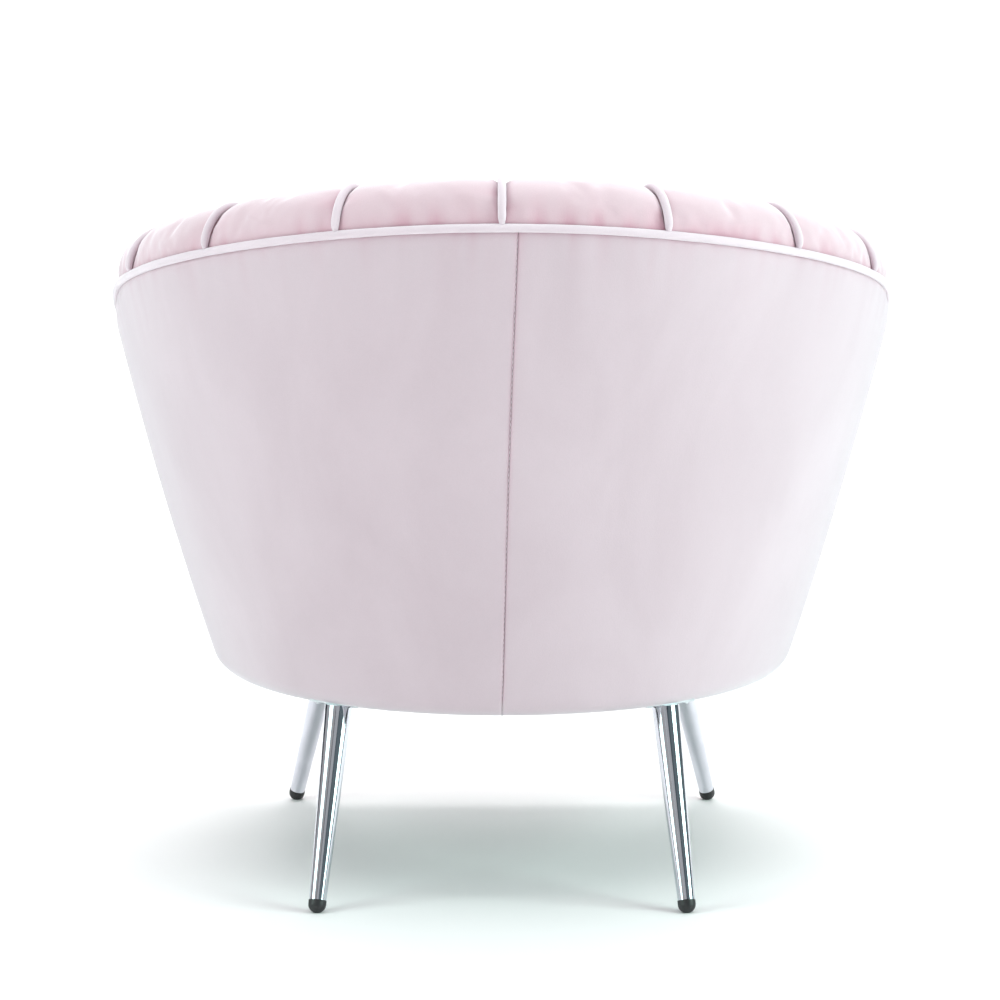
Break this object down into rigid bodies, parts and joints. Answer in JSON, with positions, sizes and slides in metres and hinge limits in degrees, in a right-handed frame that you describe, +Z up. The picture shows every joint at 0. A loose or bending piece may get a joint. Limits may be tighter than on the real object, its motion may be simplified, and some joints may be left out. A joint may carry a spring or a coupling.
{
  "type": "tub chair",
  "caption": "Low tub chair with a channelled velvet wall sloping into its arms, a piped rim, a loose seat cushion and splayed tapered chrome legs with black glides.",
  "frame": {"origin": "on the floor, under the middle of the bounding box", "axes": "+Z up, -Y the way the sitter faces, +X the sitter's left"},
  "size_m": [0.8048, 0.7113, 0.6892],
  "materials": {
    "velvet": "pale pink short-pile velvet, soft sheen",
    "piping_velvet": "pale pink velvet over cord",
    "chrome": "polished",
    "black_plastic": "satin black",
    "zinc_steel": "zinc plated",
    "spring_steel": "oiled spring wire",
    "timber": "unfinished birch plywood and beech",
    "board": "raw fibreboard",
    "black_cambric": "thin non-woven dust cloth",
    "foam": "open-cell foam",
    "deck_cloth": "plain woven lining over wadding"
  },
  "bodies": {
    "chair": {"arm_bow_left": "timber", "arm_bow_right": "timber", "base_panel": "timber", "channel_piping_1_left": "piping_velvet", "channel_piping_1_right": "piping_velvet", "channel_piping_2_left": "piping_velvet", "channel_piping_2_right": "piping_velvet", "channel_piping_3_left": "piping_velvet", "channel_piping_3_right": "piping_velvet", "channel_piping_4_left": "piping_velvet", "channel_piping_4_right": "piping_velvet", "channel_piping_centre": "piping_velvet", "deck_pad": "deck_cloth", "dust_cover": "black_cambric", "front_cover": "velvet", "front_seat_rail": "timber", "glide_front_left": "black_plastic", "glide_front_right": "black_plastic", "glide_rear_left": "black_plastic", "glide_rear_right": "black_plastic", "inner_board": "board", "leg_front_left": "chrome", "leg_front_right": "chrome", "leg_plate_front_left": "zinc_steel", "leg_plate_front_right": "zinc_steel", "leg_plate_rear_left": "zinc_steel", "leg_plate_rear_right": "zinc_steel", "leg_rear_left": "chrome", "leg_rear_right": "chrome", "outer_board_left": "board", "outer_board_right": "board", "outer_cover_left": "velvet", "outer_cover_right": "velvet", "pad_1_left": "velvet", "pad_1_right": "velvet", "pad_2_left": "velvet", "pad_2_right": "velvet", "pad_3_left": "velvet", "pad_3_right": "velvet", "pad_4_left": "velvet", "pad_4_right": "velvet", "pad_5_left": "velvet", "pad_5_right": "velvet", "plate_screws": "zinc_steel", "rib_centre": "timber", "rib_left": "timber", "rib_right": "timber", "rim_piping": "piping_velvet", "rim_rail": "timber", "seat_rail": "timber", "spring_1": "spring_steel", "spring_2": "spring_steel", "spring_3": "spring_steel", "spring_4": "spring_steel", "spring_clips": "spring_steel"},
    "seat_cushion": {"cushion_core": "foam", "cushion_cover": "velvet", "cushion_piping_bottom": "piping_velvet", "cushion_piping_top": "piping_velvet"}
  },
  "joints": [
    {"name": "cushion_lift", "type": "slide", "parent": "chair", "child": "seat_cushion", "axis": [0, 0, 1], "range_m": [0, 0.35]}
  ]
}
